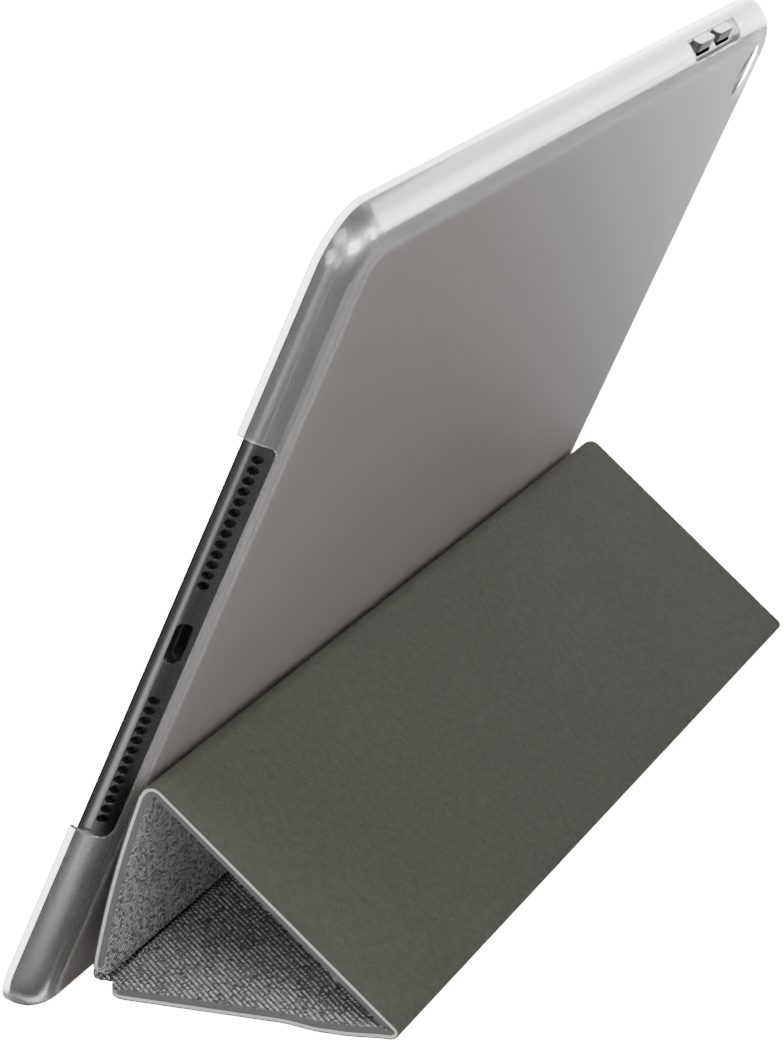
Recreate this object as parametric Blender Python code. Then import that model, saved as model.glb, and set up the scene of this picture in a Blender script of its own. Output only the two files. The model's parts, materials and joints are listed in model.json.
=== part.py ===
"""A tablet folio case standing on its folded cover, with the tablet it holds.

A clear hard shell holds the tablet. A cover of three stiff panels hangs from the shell's lower back
edge by two soft strips. Folded into a triangular prism behind the shell the panels are a stand, and
swung round to the front they lie flat over the glass.

X runs along the long side of the tablet, with the charging port at +X. The screen faces -Y, and the
floor is z = 0.
"""

from math import cos, radians, sin

import bmesh
import bpy
from mathutils import Matrix, Vector

MM = 0.001

# ---- driving dimensions -------------------------------------------------------------------------

TABLET_LENGTH = 240 * MM
TABLET_WIDTH = 169.5 * MM
TABLET_THICKNESS = 6.1 * MM
TABLET_CORNER = 10 * MM
TABLET_BACK_ROUND = 4.5 * MM

FIT_GAP = 0.1 * MM
WALL = 1.1 * MM
RIM_ABOVE_GLASS = 1.0 * MM
BACK_WALL = 1.2 * MM
SHELL_BACK_ROUND = 5.0 * MM
SHELL_RIM_ROUND = 0.4 * MM
HOUSING_RIM_ROUND = 0.3 * MM

LEAN = radians(58.35)
RIM_HEIGHT = 2.6 * MM
# The case's lower front rim, set so that the origin lies under the middle of the whole stand.
RIM_Y = -47.81 * MM

COVER_WIDTH = 237.4 * MM
STRIP_WIDTH = 196 * MM
PANEL_THICKNESS = 2.2 * MM
STRIP_THICKNESS = 1.2 * MM
SKIN = 0.5 * MM
LAYER_GAP = 0.1 * MM

# Each cover piece runs from its own fold to the next: length, and rest angle from +Y towards +Z.
EDGE_STRIP_LENGTH = 5.4 * MM
EDGE_STRIP_ANGLE = radians(-4.5)
SPINE_STRIP_LENGTH = 9.6 * MM
SPINE_STRIP_ANGLE = radians(43.5)
BASE_LENGTH = 58.3 * MM
BASE_ANGLE = radians(-6.0)
REAR_LENGTH = 61.8 * MM
REAR_ANGLE = radians(132.1)
FREE_LENGTH = 41.0 * MM
FREE_ANGLE = radians(-114.0)

# How far each piece stops short of a fold's axis, so that both sides can close on the fold.
STRIP_CLEAR = 0.7 * MM
FLAP_CLEAR = 1.2 * MM
SPINE_END_CLEAR = 1.5 * MM
BASE_START_CLEAR = 1.2 * MM
SHARP_FOLD_CLEAR = 3.1 * MM
OPEN_FOLD_CLEAR = 1.9 * MM

# ---- sizes that follow --------------------------------------------------------------------------

SIDE = WALL + FIT_GAP
SHELL_LENGTH = TABLET_LENGTH + 2 * SIDE
SHELL_WIDTH = TABLET_WIDTH + 2 * SIDE
SHELL_DEPTH = RIM_ABOVE_GLASS + TABLET_THICKNESS + FIT_GAP + BACK_WALL
MIDDLE = SHELL_WIDTH / 2
GLASS_FACE = -RIM_ABOVE_GLASS
TABLET_BACK = GLASS_FACE - TABLET_THICKNESS
TABLET_TOP = SIDE + TABLET_WIDTH
TABLET_END = TABLET_LENGTH / 2

HOUSING_WALL = 2.8 * MM
HOUSING_FLOOR = 0.8 * MM
HOUSING_CAVITY_ROUND = 1.5 * MM
GLASS_THICKNESS = 0.6 * MM
GLASS_INSET = 0.7 * MM
CAVITY_FRONT = GLASS_FACE - GLASS_THICKNESS - FIT_GAP
CAVITY_BACK = TABLET_BACK + HOUSING_FLOOR

PORT_SIDE_LEVEL = -4.5 * MM
PORT_SLOT = (8.4 * MM, 2.4 * MM)
SPEAKER_HOLES = 13
SPEAKER_PITCH = 2.175 * MM
SPEAKER_HOLE_RADIUS = 0.88 * MM
SPEAKER_START = 12.3 * MM
SPEAKER_CENTRE = SPEAKER_START + SPEAKER_PITCH * (SPEAKER_HOLES - 1) / 2

CAMERA_PLACE = (-108.4 * MM, 157.7 * MM)
CAMERA_RADIUS = 4.0 * MM
BUTTON_LENGTH = 10.5 * MM
BUTTON_HEIGHT = 2.3 * MM
BUTTON_DEPTH = 1.9 * MM
BUTTON_PROUD = 0.45 * MM
BUTTON_GAP = 0.15 * MM
BUTTON_LEVEL = -4.4 * MM
VOLUME_BUTTONS = (("volume_down_button", -70.0 * MM), ("volume_up_button", -83.5 * MM))
POWER_BUTTON_Y = 152 * MM
JACK_Y = 20 * MM
HOME_PLACE = (109.3 * MM, MIDDLE)
HOME_RADIUS = 7.4 * MM
HOME_THICKNESS = 1.05 * MM
HOME_SUNK = 0.15 * MM
HOME_GAP = 0.2 * MM

# The openings in the shell: how far each reaches in from the outside, and its half length or radius.
NOTCH_HALF = 41.8 * MM
NOTCH_REACH = 4 * MM
NOTCH_CORNER = 2.5 * MM
VOLUME_SLOT = (-93 * MM, -60.5 * MM)
POWER_SLOT_HALF = 9 * MM
BUTTON_SLOT_REACH = 4 * MM
BUTTON_SLOT_FRONT = -3 * MM
BUTTON_SLOT_CORNER = 1.5 * MM
JACK_SLOT_HALF = 5 * MM
JACK_SLOT_REACH = 3.3 * MM
JACK_SLOT_CORNER = 1.2 * MM
CAMERA_HOLE_RADIUS = 7.2 * MM
JACK_RADIUS = 1.85 * MM
JACK_LEVEL = -4.0 * MM
MICROPHONE_RADIUS = 0.4 * MM

# What lies inside the tablet.
INSIDE_LOW = CAVITY_BACK + 0.15 * MM
INSIDE_HIGH = CAVITY_FRONT - 1.5 * MM
INSIDE_END = 115.5 * MM
DISPLAY_HALF = (98.5 * MM, 74 * MM)
DISPLAY_THICKNESS = 1.2 * MM
BATTERY_CELL = (60 * MM, 104 * MM)
BATTERY_PITCH = 62 * MM
BATTERY_START = 16 * MM
BATTERY_MIDDLE = -8 * MM
LOGIC_BOARD = ((-96 * MM, 125 * MM), (84 * MM, 150 * MM))
LOGIC_BOARD_THICKNESS = 1.6 * MM
SPEAKER_BOX_START = 101 * MM
PORT_BOX_START = 107 * MM
PORT_BOX_HALF = 6 * MM
PORT_BOX_WALL = 0.4 * MM
JACK_BARREL = (1.9 * MM, 12 * MM)
JACK_BARREL_X = -110.5 * MM
MICROPHONE_SIZE = (2 * MM, 4 * MM)
FRONT_CAMERA_PLACE = (-109 * MM, MIDDLE)
FRONT_CAMERA_RADIUS = 2.2 * MM
FRONT_CAMERA_DEPTH = 2.9 * MM

# The cover's fixed flap, its corners and its magnets.
FLAP_START = 3.9 * MM
FLAP_LENGTH = 14 * MM
FLAP_STANDS_OFF = 0.9 * MM
FLAP_CORNER = 2 * MM
STRIP_CORNER = 0.5 * MM
REAR_CORNER = 3 * MM
FREE_CORNER = 4 * MM
MAGNET_SIZE = (16 * MM, 5 * MM)
MAGNET_THICKNESS = 0.9 * MM
MAGNET_GAP = 0.1 * MM
MAGNET_X = 78 * MM
MAGNET_INSET = 6 * MM
WAKE_MAGNET = (-96 * MM, 40 * MM)

COLOURS = {
    "clear_plastic": ((0.80, 0.81, 0.80), 0.25, 0.0),
    "suede": ((0.095, 0.095, 0.080), 0.95, 0.0),
    "fabric": ((0.20, 0.20, 0.20), 0.95, 0.0),
    "board": ((0.50, 0.51, 0.49), 0.80, 0.0),
    "grey_metal": ((0.26, 0.26, 0.27), 0.35, 1.0),
    "magnet_metal": ((0.55, 0.55, 0.56), 0.30, 1.0),
    "black_glass": ((0.01, 0.01, 0.012), 0.05, 0.0),
    "display": ((0.02, 0.02, 0.03), 0.30, 0.0),
    "battery_foil": ((0.05, 0.05, 0.05), 0.50, 0.0),
    "circuit_board": ((0.02, 0.10, 0.05), 0.60, 0.0),
    "black_plastic": ((0.03, 0.03, 0.03), 0.50, 0.0),
}


# ---- helpers ------------------------------------------------------------------------------------


def clear_scene():
    for obj in list(bpy.data.objects):
        bpy.data.objects.remove(obj)


def new_collection(name):
    made = bpy.data.collections.new(name)
    bpy.context.scene.collection.children.link(made)
    return made


def material(slot):
    found = bpy.data.materials.get(slot)
    if found:
        return found
    colour, roughness, metallic = COLOURS[slot]
    made = bpy.data.materials.new(slot)
    made.use_nodes = True
    shader = made.node_tree.nodes["Principled BSDF"]
    shader.inputs["Base Color"].default_value = (*colour, 1)
    shader.inputs["Roughness"].default_value = roughness
    shader.inputs["Metallic"].default_value = metallic
    made.diffuse_color = (*colour, 1)
    return made


def to_object(name, mesh_builder, slot, parent, group):
    mesh = bpy.data.meshes.new(name)
    mesh_builder.to_mesh(mesh)
    mesh_builder.free()
    obj = bpy.data.objects.new(name, mesh)
    group.objects.link(obj)
    if slot:
        mesh.materials.append(material(slot))
    obj.parent = parent
    return obj


def empty(name, parent, place, turn):
    """An empty at (y, z) of its parent, turned about X."""
    made = bpy.data.objects.new(name, None)
    ASSEMBLY.objects.link(made)
    made.parent = parent
    made.location = (0, *place)
    made.rotation_euler = (turn, 0, 0)
    return made


def upright_edges(builder):
    """The edges of a slab that run along its own Z."""
    return [e for e in builder.edges if abs(e.verts[0].co.z - e.verts[1].co.z) > 1e-6]


def loop_at(builder, z):
    return [e for e in builder.edges if all(abs(v.co.z - z) < 1e-7 for v in e.verts)]


def round_edges(builder, edges, radius, segments):
    bmesh.ops.bevel(builder, geom=edges, offset=radius, segments=segments, affect="EDGES", profile=0.5)


def slab_mesh(size, corner=0.0, back=0.0, front=0.0, segments=8):
    """A box centred on the origin with rounded upright edges and rounded back and front rims."""
    builder = bmesh.new()
    bmesh.ops.create_cube(builder, size=1)
    bmesh.ops.scale(builder, vec=size, verts=builder.verts)
    if corner:
        round_edges(builder, upright_edges(builder), corner, segments)
    for radius, z in ((back, -size[2] / 2), (front, size[2] / 2)):
        if radius:
            round_edges(builder, loop_at(builder, z), radius, 6)
    return builder


FACING = {
    "Z": Matrix.Identity(4),
    "X": Matrix(((0, 0, 1, 0), (1, 0, 0, 0), (0, 1, 0, 0), (0, 0, 0, 1))),
    "Y": Matrix(((0, 1, 0, 0), (0, 0, 1, 0), (1, 0, 0, 0), (0, 0, 0, 1))),
}


def moved(builder, centre, facing="Z"):
    """Turns a mesh so that its Z faces the named axis, then moves it to its centre."""
    builder.transform(Matrix.Translation(centre) @ FACING[facing])
    return builder


def box_between(low, high, corner=0.0, segments=8):
    low, high = Vector(low), Vector(high)
    return moved(slab_mesh(high - low, corner, segments=segments), (low + high) / 2)


def disc_mesh(radius, low, high, centre, segments=40):
    """A cylinder along Z between two heights, at (x, y)."""
    builder = bmesh.new()
    bmesh.ops.create_cone(
        builder, cap_ends=True, segments=segments, radius1=radius, radius2=radius, depth=high - low
    )
    return moved(builder, (*centre, (low + high) / 2))


def rod(radius, length, centre, segments):
    """A cylinder along X."""
    return moved(disc_mesh(radius, -length / 2, length / 2, (0, 0), segments), centre, "X")


def cut(target, *builders):
    """Takes each mesh away from the target with an exact Boolean."""
    for index, builder in enumerate(builders):
        cutter = to_object(f"{target.name}_cutter_{index}", builder, None, target.parent, CUTTERS)
        cutter.hide_render = True
        cutter.display_type = "WIRE"
        modifier = target.modifiers.new(f"cut_{index}", "BOOLEAN")
        modifier.operation = "DIFFERENCE"
        modifier.solver = "EXACT"
        modifier.object = cutter
    return target


def joined(builders):
    """Several separate closed meshes as one."""
    whole = bmesh.new()
    for builder in builders:
        part = bpy.data.meshes.new("part")
        builder.to_mesh(part)
        builder.free()
        whole.from_mesh(part)
        bpy.data.meshes.remove(part)
    return whole


# ---- the shell ----------------------------------------------------------------------------------

TABLET_FLAT_CENTRE = Vector((0, MIDDLE, (GLASS_FACE + TABLET_BACK) / 2))
BEYOND = 5 * MM


def build_shell(frame):
    """One moulded tray, its walls open at the port, the buttons, the jack and the camera."""
    outer = slab_mesh(
        (SHELL_LENGTH, SHELL_WIDTH, SHELL_DEPTH),
        TABLET_CORNER + SIDE,
        SHELL_BACK_ROUND,
        SHELL_RIM_ROUND,
        segments=10,
    )
    moved(outer, (0, MIDDLE, -SHELL_DEPTH / 2))
    shell = to_object("clear_shell", outer, "clear_plastic", frame, ASSEMBLY)

    pocket_back = TABLET_BACK - FIT_GAP
    pocket_depth = BEYOND - pocket_back
    pocket = slab_mesh(
        (TABLET_LENGTH + 2 * FIT_GAP, TABLET_WIDTH + 2 * FIT_GAP, pocket_depth),
        TABLET_CORNER + FIT_GAP,
        TABLET_BACK_ROUND + FIT_GAP,
        segments=10,
    )
    moved(pocket, (0, MIDDLE, pocket_back + pocket_depth / 2))

    end = SHELL_LENGTH / 2
    behind = -SHELL_DEPTH - BEYOND
    port_notch = box_between(
        (end - NOTCH_REACH, MIDDLE - NOTCH_HALF, behind),
        (end + BEYOND, MIDDLE + NOTCH_HALF, BEYOND),
        corner=NOTCH_CORNER,
    )
    volume_slot = box_between(
        (VOLUME_SLOT[0], SHELL_WIDTH - BUTTON_SLOT_REACH, behind),
        (VOLUME_SLOT[1], SHELL_WIDTH + BEYOND, BUTTON_SLOT_FRONT),
        corner=BUTTON_SLOT_CORNER,
    )
    power_slot = box_between(
        (-end - BEYOND, POWER_BUTTON_Y - POWER_SLOT_HALF, behind),
        (-end + BUTTON_SLOT_REACH, POWER_BUTTON_Y + POWER_SLOT_HALF, BUTTON_SLOT_FRONT),
        corner=BUTTON_SLOT_CORNER,
    )
    jack_slot = box_between(
        (-end - BEYOND, JACK_Y - JACK_SLOT_HALF, behind),
        (-end + JACK_SLOT_REACH, JACK_Y + JACK_SLOT_HALF, BEYOND),
        corner=JACK_SLOT_CORNER,
    )
    camera_hole = disc_mesh(CAMERA_HOLE_RADIUS, behind, TABLET_BACK + FIT_GAP + BEYOND / 2, CAMERA_PLACE)
    return cut(shell, pocket, port_notch, volume_slot, power_slot, jack_slot, camera_hole)


# ---- the tablet ---------------------------------------------------------------------------------


SIDE_CUT = 8 * MM


def speaker_holes(side):
    """A row of round cutters through the port side, above (1) or below (-1) the port."""
    for index in range(SPEAKER_HOLES):
        y = MIDDLE + side * (SPEAKER_START + index * SPEAKER_PITCH)
        yield rod(SPEAKER_HOLE_RADIUS, SIDE_CUT, (TABLET_END, y, PORT_SIDE_LEVEL), 20)


def capsule(length, height, depth, centre, facing):
    """A slot or button shape: a slab whose ends are half rounds, facing along X or Y."""
    size = (length, height, depth) if facing == "X" else (height, length, depth)
    return moved(slab_mesh(size, height / 2 * 0.999, segments=8), centre, facing)


def build_housing(frame):
    outer = slab_mesh(
        (TABLET_LENGTH, TABLET_WIDTH, TABLET_THICKNESS),
        TABLET_CORNER,
        TABLET_BACK_ROUND,
        HOUSING_RIM_ROUND,
        segments=10,
    )
    housing = to_object("tablet_housing", moved(outer, TABLET_FLAT_CENTRE), "grey_metal", frame, ASSEMBLY)

    seat = box_between(
        (-TABLET_END + GLASS_INSET, SIDE + GLASS_INSET, CAVITY_FRONT),
        (TABLET_END - GLASS_INSET, TABLET_TOP - GLASS_INSET, BEYOND),
        corner=TABLET_CORNER - GLASS_INSET,
        segments=10,
    )
    cavity = slab_mesh(
        (TABLET_LENGTH - 2 * HOUSING_WALL, TABLET_WIDTH - 2 * HOUSING_WALL, BEYOND - CAVITY_BACK),
        TABLET_CORNER - HOUSING_WALL,
        HOUSING_CAVITY_ROUND,
        segments=10,
    )
    moved(cavity, (0, MIDDLE, (BEYOND + CAVITY_BACK) / 2))
    port = capsule(*PORT_SLOT, SIDE_CUT, (TABLET_END, MIDDLE, PORT_SIDE_LEVEL), "X")
    lens_hole = disc_mesh(CAMERA_RADIUS + FIT_GAP, TABLET_BACK - BEYOND, CAVITY_BACK + 1 * MM, CAMERA_PLACE)
    jack = rod(JACK_RADIUS, SIDE_CUT, (-TABLET_END, JACK_Y, JACK_LEVEL), 24)
    microphone_hole = rod(MICROPHONE_RADIUS, SIDE_CUT, (-TABLET_END, MIDDLE, BUTTON_LEVEL), 12)
    pockets = [button_pocket_top(x) for _, x in VOLUME_BUTTONS] + [button_pocket_end()]
    return cut(
        housing,
        seat,
        cavity,
        port,
        joined(speaker_holes(1)),
        joined(speaker_holes(-1)),
        lens_hole,
        jack,
        microphone_hole,
        joined(pockets),
    )


def button_pocket_top(x):
    grown = 2 * BUTTON_GAP
    centre = (x, TABLET_TOP, BUTTON_LEVEL)
    return capsule(BUTTON_LENGTH + grown, BUTTON_HEIGHT + grown, SIDE_CUT, centre, "Y")


def button_pocket_end():
    grown = 2 * BUTTON_GAP
    centre = (-TABLET_END, POWER_BUTTON_Y, BUTTON_LEVEL)
    return capsule(BUTTON_LENGTH + grown, BUTTON_HEIGHT + grown, SIDE_CUT, centre, "X")


def build_buttons(frame):
    depth = BUTTON_DEPTH + BUTTON_PROUD
    for name, x in VOLUME_BUTTONS:
        centre = (x, TABLET_TOP + BUTTON_PROUD - depth / 2, BUTTON_LEVEL)
        shape = capsule(BUTTON_LENGTH, BUTTON_HEIGHT, depth, centre, "Y")
        to_object(name, shape, "grey_metal", frame, ASSEMBLY)
    centre = (-TABLET_END - BUTTON_PROUD + depth / 2, POWER_BUTTON_Y, BUTTON_LEVEL)
    shape = capsule(BUTTON_LENGTH, BUTTON_HEIGHT, depth, centre, "X")
    to_object("power_button", shape, "grey_metal", frame, ASSEMBLY)
    home_face = GLASS_FACE - HOME_SUNK
    home = disc_mesh(HOME_RADIUS, home_face - HOME_THICKNESS, home_face, HOME_PLACE)
    to_object("home_button", home, "black_glass", frame, ASSEMBLY)


def build_display(frame):
    glass = box_between(
        (-TABLET_END + GLASS_INSET + FIT_GAP, SIDE + GLASS_INSET + FIT_GAP, GLASS_FACE - GLASS_THICKNESS),
        (TABLET_END - GLASS_INSET - FIT_GAP, TABLET_TOP - GLASS_INSET - FIT_GAP, GLASS_FACE),
        corner=TABLET_CORNER - GLASS_INSET - FIT_GAP,
        segments=10,
    )
    front = to_object("display_glass", glass, "black_glass", frame, ASSEMBLY)
    cut(front, disc_mesh(HOME_RADIUS + HOME_GAP, -BEYOND, BEYOND, HOME_PLACE))
    panel_face = CAVITY_FRONT - FIT_GAP
    panel = box_between(
        (-DISPLAY_HALF[0], MIDDLE - DISPLAY_HALF[1], panel_face - DISPLAY_THICKNESS),
        (DISPLAY_HALF[0], MIDDLE + DISPLAY_HALF[1], panel_face),
    )
    to_object("display_panel", panel, "display", frame, ASSEMBLY)


def build_inside(frame):
    """What the tablet holds behind its display, each piece a plain block of the right size."""
    for column, name in ((-1, "battery_cell_far"), (0, "battery_cell_middle"), (1, "battery_cell_near")):
        left = BATTERY_MIDDLE + column * BATTERY_PITCH - BATTERY_CELL[0] / 2
        cell = box_between(
            (left, BATTERY_START, INSIDE_LOW),
            (left + BATTERY_CELL[0], BATTERY_START + BATTERY_CELL[1], INSIDE_HIGH),
            corner=2 * MM,
            segments=3,
        )
        to_object(name, cell, "battery_foil", frame, ASSEMBLY)

    near, far = LOGIC_BOARD
    board = box_between((*near, INSIDE_LOW), (*far, INSIDE_LOW + LOGIC_BOARD_THICKNESS))
    to_object("logic_board", board, "circuit_board", frame, ASSEMBLY)

    speaker_reach = SPEAKER_CENTRE - SPEAKER_START + 2 * MM
    for name, side in (("upper_speaker", 1), ("lower_speaker", -1)):
        y = MIDDLE + side * SPEAKER_CENTRE
        box = (
            (SPEAKER_BOX_START, y - speaker_reach, INSIDE_LOW),
            (INSIDE_END, y + speaker_reach, INSIDE_HIGH),
        )
        to_object(name, box_between(*box, corner=1 * MM, segments=3), "black_plastic", frame, ASSEMBLY)

    port_box = (
        (PORT_BOX_START, MIDDLE - PORT_BOX_HALF, INSIDE_LOW),
        (INSIDE_END, MIDDLE + PORT_BOX_HALF, PORT_SIDE_LEVEL + PORT_SLOT[1] / 2 + PORT_BOX_WALL),
    )
    port = to_object("charge_port", box_between(*port_box), "magnet_metal", frame, ASSEMBLY)
    cut(port, capsule(*PORT_SLOT, 1.5 * SIDE_CUT, (INSIDE_END, MIDDLE, PORT_SIDE_LEVEL), "X"))

    jack = rod(*JACK_BARREL, (JACK_BARREL_X, JACK_Y, JACK_LEVEL), 24)
    to_object("headphone_jack", jack, "black_plastic", frame, ASSEMBLY)

    depth, width = MICROPHONE_SIZE
    microphone = box_between(
        (-INSIDE_END, MIDDLE - width / 2, INSIDE_LOW), (depth - INSIDE_END, MIDDLE + width / 2, INSIDE_HIGH)
    )
    to_object("microphone", microphone, "black_plastic", frame, ASSEMBLY)


def build_cameras(frame):
    lens = disc_mesh(CAMERA_RADIUS, TABLET_BACK, CAVITY_BACK - FIT_GAP, CAMERA_PLACE)
    to_object("camera_lens", lens, "black_glass", frame, ASSEMBLY)
    body = disc_mesh(CAMERA_RADIUS + 0.6 * MM, CAVITY_BACK + FIT_GAP, CAVITY_FRONT - 0.4 * MM, CAMERA_PLACE)
    to_object("rear_camera", body, "black_plastic", frame, ASSEMBLY)
    face = CAVITY_FRONT - FIT_GAP
    front = disc_mesh(FRONT_CAMERA_RADIUS, face - FRONT_CAMERA_DEPTH, face, FRONT_CAMERA_PLACE, segments=24)
    to_object("front_camera", front, "black_plastic", frame, ASSEMBLY)


# ---- the cover ----------------------------------------------------------------------------------


def layers(prefix, frame, width, start, end, thickness, corner, with_board):
    """The lining, the board and the fabric of one cover piece, between two distances from its fold."""
    half = thickness / 2
    inner = half - SKIN if with_board else LAYER_GAP / 2
    spans = {"suede": (-half, -inner), "fabric": (inner, half)}
    if with_board:
        core = inner - LAYER_GAP
        spans["board"] = (-core, core)
    made = {}
    for slot, (low, high) in spans.items():
        shape = box_between((-width / 2, start, low), (width / 2, end, high), corner=corner, segments=6)
        made[slot] = to_object(f"{prefix}_{slot}", shape, slot, frame, ASSEMBLY)
    return made


def magnets(board, frame, places):
    """Flat bar magnets let into a panel's board, each given by its name and its (x, y)."""
    half = Vector((MAGNET_SIZE[0] / 2, MAGNET_SIZE[1] / 2, MAGNET_THICKNESS / 2))
    gap = Vector((MAGNET_GAP, MAGNET_GAP, PANEL_THICKNESS))
    holes = []
    for name, place in places.items():
        centre = Vector((*place, 0))
        to_object(name, box_between(centre - half, centre + half), "magnet_metal", frame, ASSEMBLY)
        holes.append(box_between(centre - half - gap, centre + half + gap))
    cut(board, joined(holes))


def magnet_pair(prefix, y):
    return {f"{prefix}_magnet_far": (-MAGNET_X, y), f"{prefix}_magnet_near": (MAGNET_X, y)}


def next_fold(name, place, angle, length, next_angle):
    """The world (y, z) at the far end of a cover piece, and the empty that turns about it."""
    y = place[0] + length * cos(angle)
    z = place[1] + length * sin(angle)
    return (y, z), empty(name, None, (y, z), next_angle)


def build_cover(frame):
    """The cover pieces as a chain of frames, each turning about the fold before it."""
    level = -SHELL_DEPTH - FLAP_STANDS_OFF
    flap = empty("flap_frame", frame, (FLAP_START, level), 0)
    layers("flap", flap, STRIP_WIDTH, FLAP_CLEAR, FLAP_LENGTH, STRIP_THICKNESS, FLAP_CORNER, False)

    place = (
        RIM_Y + FLAP_START * cos(LEAN) - level * sin(LEAN),
        RIM_HEIGHT + FLAP_START * sin(LEAN) + level * cos(LEAN),
    )
    edge = empty("edge_fold_axis", None, place, EDGE_STRIP_ANGLE)
    end = EDGE_STRIP_LENGTH - STRIP_CLEAR
    layers("edge_strip", edge, STRIP_WIDTH, FLAP_CLEAR, end, STRIP_THICKNESS, STRIP_CORNER, False)

    place, spine = next_fold(
        "spine_fold_axis", place, EDGE_STRIP_ANGLE, EDGE_STRIP_LENGTH, SPINE_STRIP_ANGLE
    )
    end = SPINE_STRIP_LENGTH - SPINE_END_CLEAR
    layers("spine_strip", spine, STRIP_WIDTH, STRIP_CLEAR, end, STRIP_THICKNESS, STRIP_CORNER, False)

    place, base = next_fold("base_fold_axis", place, SPINE_STRIP_ANGLE, SPINE_STRIP_LENGTH, BASE_ANGLE)
    end = BASE_LENGTH - SHARP_FOLD_CLEAR
    made = layers("base", base, COVER_WIDTH, BASE_START_CLEAR, end, PANEL_THICKNESS, FREE_CORNER, True)
    magnets(made["board"], base, magnet_pair("base", MAGNET_INSET + BASE_START_CLEAR))

    place, rear = next_fold("rear_fold_axis", place, BASE_ANGLE, BASE_LENGTH, REAR_ANGLE)
    end = REAR_LENGTH - OPEN_FOLD_CLEAR
    made = layers("rear", rear, COVER_WIDTH, SHARP_FOLD_CLEAR, end, PANEL_THICKNESS, REAR_CORNER, True)
    magnets(made["board"], rear, {"wake_magnet": WAKE_MAGNET})

    place, free = next_fold("free_fold_axis", place, REAR_ANGLE, REAR_LENGTH, FREE_ANGLE)
    made = layers("free", free, COVER_WIDTH, OPEN_FOLD_CLEAR, FREE_LENGTH, PANEL_THICKNESS, FREE_CORNER, True)
    magnets(made["board"], free, magnet_pair("free", FREE_LENGTH - MAGNET_INSET))


clear_scene()
ASSEMBLY = new_collection("tablet_folio_case")
CUTTERS = new_collection("cutters")

case_frame = empty("case_frame", None, (RIM_Y, RIM_HEIGHT), LEAN)
build_shell(case_frame)
build_housing(case_frame)
build_display(case_frame)
build_buttons(case_frame)
build_inside(case_frame)
build_cameras(case_frame)
build_cover(case_frame)
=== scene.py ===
"""The looks of the tablet folio case: clear shell, tablet, suede and woven cover, light and camera."""

import json
from math import atan2, cos, pi, radians, sin, sqrt, tan

import bmesh
import bpy
from mathutils import Matrix, Vector

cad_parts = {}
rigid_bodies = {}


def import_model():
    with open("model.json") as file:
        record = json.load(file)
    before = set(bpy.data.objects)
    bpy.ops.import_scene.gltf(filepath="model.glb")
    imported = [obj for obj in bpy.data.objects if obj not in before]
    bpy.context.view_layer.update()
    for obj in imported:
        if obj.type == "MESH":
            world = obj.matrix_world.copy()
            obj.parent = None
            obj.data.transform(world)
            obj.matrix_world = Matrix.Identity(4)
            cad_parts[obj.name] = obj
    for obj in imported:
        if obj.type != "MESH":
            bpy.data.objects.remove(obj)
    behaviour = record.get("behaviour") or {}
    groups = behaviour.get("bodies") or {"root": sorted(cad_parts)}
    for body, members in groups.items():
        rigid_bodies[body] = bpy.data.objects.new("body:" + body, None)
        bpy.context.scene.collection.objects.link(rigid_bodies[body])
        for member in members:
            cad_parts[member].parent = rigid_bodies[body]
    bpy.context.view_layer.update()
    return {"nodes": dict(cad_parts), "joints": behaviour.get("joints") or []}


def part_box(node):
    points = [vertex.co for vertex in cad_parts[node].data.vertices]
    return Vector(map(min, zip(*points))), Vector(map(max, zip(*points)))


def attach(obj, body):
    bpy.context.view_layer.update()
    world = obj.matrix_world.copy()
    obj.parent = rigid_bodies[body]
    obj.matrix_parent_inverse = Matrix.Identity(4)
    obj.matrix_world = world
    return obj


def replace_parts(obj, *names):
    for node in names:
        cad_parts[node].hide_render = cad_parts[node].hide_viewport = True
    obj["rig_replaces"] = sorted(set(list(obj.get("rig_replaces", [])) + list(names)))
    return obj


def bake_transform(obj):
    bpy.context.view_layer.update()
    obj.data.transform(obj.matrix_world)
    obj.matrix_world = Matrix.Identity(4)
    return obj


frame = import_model()
NODES = frame["nodes"]
JOINTS = {joint["name"]: joint for joint in frame["joints"]}
MM = 0.001

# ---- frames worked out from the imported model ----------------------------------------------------


def turned_about_x(angle, place=(0, 0, 0)):
    return Matrix.Translation(place) @ Matrix.Rotation(angle, 4, "X")


def box_in(matrix, *nodes):
    """The lowest and highest corners of some nodes in the axes of a matrix."""
    inverse = matrix.inverted()
    points = [inverse @ v.co for n in nodes for v in NODES[n].data.vertices]
    low = Vector([min(p[i] for p in points) for i in range(3)])
    high = Vector([max(p[i] for p in points) for i in range(3)])
    return low, high


def case_frame():
    """Axes with Y up the tablet's short side and Z out of its glass, from the shell's lower front rim."""
    back = JOINTS["home_press"]["axis"]
    tilt = turned_about_x(atan2(back[1], -back[2]))
    low, high = box_in(tilt, "clear_shell")
    return tilt @ Matrix.Translation((0, low.y, high.z))


def heading(start, end):
    return atan2(end[2] - start[2], end[1] - start[1])


CASE = case_frame()
FOLDS = {name: Vector(joint["pos_m"]) for name, joint in JOINTS.items() if joint["type"] == "hinge"}


def piece_frames():
    """For each cover piece, axes with Y along it from its own fold and Z out of its fabric."""
    order = ["edge_fold", "spine_fold", "base_fold", "rear_fold", "free_fold"]
    names = ["edge_strip", "spine_strip", "base", "rear", "free"]
    low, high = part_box("free_board")
    tip = (low + high) / 2
    stops = [FOLDS[name] for name in order] + [Vector((0, tip.y, tip.z))]
    made = {}
    for index, name in enumerate(names):
        made[name] = turned_about_x(heading(stops[index], stops[index + 1]), stops[index])
    return made


PIECES = piece_frames()


def flap_frame():
    """Axes on the flap glued to the shell's back, with Y running down it to the first fold."""
    origin = FOLDS["edge_fold"]
    return Matrix.Translation(origin) @ CASE.to_3x3().to_4x4() @ Matrix.Rotation(pi, 4, "X")


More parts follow.
